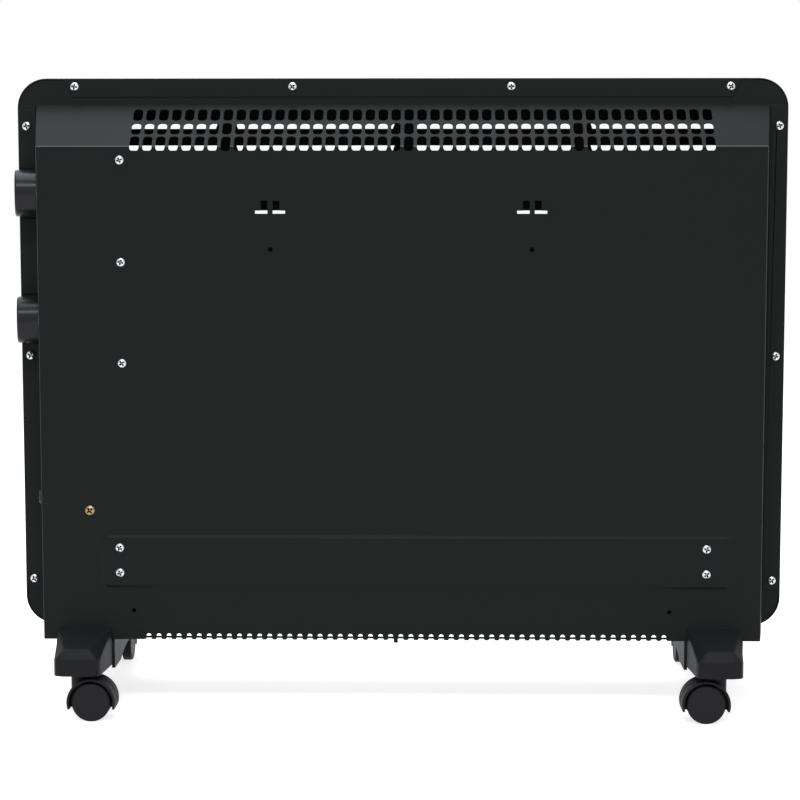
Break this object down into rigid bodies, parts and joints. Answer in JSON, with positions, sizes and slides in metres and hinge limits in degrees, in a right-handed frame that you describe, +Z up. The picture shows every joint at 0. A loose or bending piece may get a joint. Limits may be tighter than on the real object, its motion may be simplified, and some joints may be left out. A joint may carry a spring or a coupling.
{
  "type": "convector heater",
  "caption": "Free-standing panel convector heater: steel casing with a slotted front and vented sloping shoulder, side control knobs, and moulded feet on swivelling twin-wheel castors.",
  "frame": {"origin": "on the floor below the middle of the feet", "axes": "+Z up, +Y out of the back with the screws, the slotted front faces -Y, the knobs are on the +X side"},
  "size_m": [0.6464, 0.266, 0.5291],
  "materials": {
    "black_powder_coat": "satin",
    "zinc_plated_steel": "satin",
    "brass": "satin",
    "galvanised_sheet": "matte",
    "moulded_phenolic": "matte",
    "bright_steel": "satin",
    "knob_plastic": "satin",
    "gland_plastic": "satin",
    "element_aluminium": "satin",
    "ceramic": "matte",
    "foot_plastic": "satin",
    "castor_plastic": "satin",
    "wheel_plastic": "satin"
  },
  "bodies": {
    "heater": {"rear_housing": "black_powder_coat", "casing_band": "black_powder_coat", "front_grille": "black_powder_coat", "casing_screws": "zinc_plated_steel", "partition_screws": "zinc_plated_steel", "element_screws": "zinc_plated_steel", "foot_screws": "zinc_plated_steel", "earth_screw": "brass", "earth_lug": "brass", "partition": "galvanised_sheet", "thermostat": "moulded_phenolic", "power_switch": "moulded_phenolic", "control_nuts": "zinc_plated_steel", "cord_gland": "gland_plastic", "thermal_cutout": "bright_steel", "terminal_block": "moulded_phenolic", "heating_element": "element_aluminium", "element_rod": "bright_steel", "element_insulators": "ceramic", "element_bracket_left": "galvanised_sheet", "element_bracket_right": "galvanised_sheet", "foot_left": "foot_plastic", "foot_right": "foot_plastic"},
    "thermostat_dial": {"thermostat_knob": "knob_plastic", "thermostat_shaft": "bright_steel"},
    "power_dial": {"power_knob": "knob_plastic", "power_shaft": "bright_steel"},
    "castor_rear_left": {"castor_rear_left_hood": "castor_plastic"},
    "wheels_rear_left": {"castor_rear_left_axle": "bright_steel", "castor_rear_left_wheel_inner": "wheel_plastic", "castor_rear_left_wheel_outer": "wheel_plastic"},
    "castor_rear_right": {"castor_rear_right_hood": "castor_plastic"},
    "wheels_rear_right": {"castor_rear_right_axle": "bright_steel", "castor_rear_right_wheel_inner": "wheel_plastic", "castor_rear_right_wheel_outer": "wheel_plastic"},
    "castor_front_left": {"castor_front_left_hood": "castor_plastic"},
    "wheels_front_left": {"castor_front_left_axle": "bright_steel", "castor_front_left_wheel_inner": "wheel_plastic", "castor_front_left_wheel_outer": "wheel_plastic"},
    "castor_front_right": {"castor_front_right_hood": "castor_plastic"},
    "wheels_front_right": {"castor_front_right_axle": "bright_steel", "castor_front_right_wheel_inner": "wheel_plastic", "castor_front_right_wheel_outer": "wheel_plastic"}
  },
  "joints": [
    {"name": "thermostat_turn", "type": "hinge", "parent": "heater", "child": "thermostat_dial", "pos_m": [0.30389, 0.065, 0.4337], "axis": [-0.9859, -0.1671, 0], "range_deg": [0, 300]},
    {"name": "power_turn", "type": "hinge", "parent": "heater", "child": "power_dial", "pos_m": [0.30389, 0.065, 0.3283], "axis": [-0.9859, -0.1671, 0], "range_deg": [0, 270]},
    {"name": "swivel_rear_left", "type": "hinge", "parent": "heater", "child": "castor_rear_left", "pos_m": [-0.2616, 0.115, 0.0392], "axis": [0, 0, 1], "continuous": true},
    {"name": "roll_rear_left", "type": "hinge", "parent": "castor_rear_left", "child": "wheels_rear_left", "pos_m": [-0.2511, 0.115, 0.016], "axis": [0, 1, 0], "continuous": true},
    {"name": "swivel_rear_right", "type": "hinge", "parent": "heater", "child": "castor_rear_right", "pos_m": [0.2654, 0.115, 0.0392], "axis": [0, 0, 1], "continuous": true},
    {"name": "roll_rear_right", "type": "hinge", "parent": "castor_rear_right", "child": "wheels_rear_right", "pos_m": [0.2549, 0.115, 0.016], "axis": [0, 1, 0], "continuous": true},
    {"name": "swivel_front_left", "type": "hinge", "parent": "heater", "child": "castor_front_left", "pos_m": [-0.2616, -0.115, 0.0392], "axis": [0, 0, 1], "continuous": true},
    {"name": "roll_front_left", "type": "hinge", "parent": "castor_front_left", "child": "wheels_front_left", "pos_m": [-0.2616, -0.1045, 0.016], "axis": [1, 0, 0], "continuous": true},
    {"name": "swivel_front_right", "type": "hinge", "parent": "heater", "child": "castor_front_right", "pos_m": [0.2654, -0.115, 0.0392], "axis": [0, 0, 1], "continuous": true},
    {"name": "roll_front_right", "type": "hinge", "parent": "castor_front_right", "child": "wheels_front_right", "pos_m": [0.2654, -0.1045, 0.016], "axis": [1, 0, 0], "continuous": true}
  ]
}
